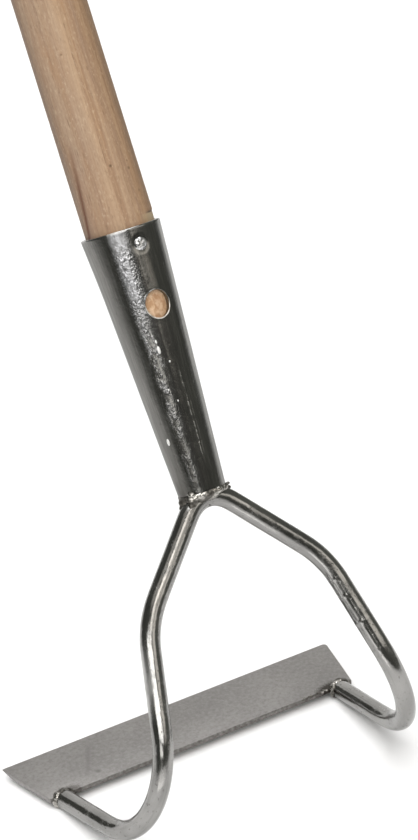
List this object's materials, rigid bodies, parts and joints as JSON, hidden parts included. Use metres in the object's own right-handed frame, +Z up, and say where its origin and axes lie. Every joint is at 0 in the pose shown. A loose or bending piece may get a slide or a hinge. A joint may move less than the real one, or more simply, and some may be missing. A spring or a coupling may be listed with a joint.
{
  "type": "stirrup hoe",
  "caption": "Pull hoe: a flat trapezoid blade across the hooked ends of a bent rod, welded under a conical socket on a long straight wooden handle.",
  "frame": {"origin": "middle of the blade's flat underside", "axes": "+Z up, square to the blade; +X across the blade; +Y from the welded edge to the cutting edge, which is the way the hoe is pulled. The handle leans 29.2 degrees from +Z towards +Y, so the blade lies flat when the hoe is held as in use."},
  "size_m": [0.1543, 0.7998, 1.4462],
  "materials": {
    "ash": "bare turned and sanded ash",
    "zinc_plated_steel": "bright zinc plate",
    "zinc_plated_screw": "bright zinc plate",
    "blade_steel": "matte zinc plate on rolled plate",
    "weld_metal": "rippled weld bead under zinc plate"
  },
  "bodies": {
    "root": {"handle": "ash", "socket": "zinc_plated_steel", "socket_screw": "zinc_plated_screw", "stirrup_rod": "zinc_plated_steel", "blade": "blade_steel", "socket_weld": "weld_metal", "blade_weld_right": "weld_metal", "blade_weld_left": "weld_metal"}
  },
  "joints": []
}
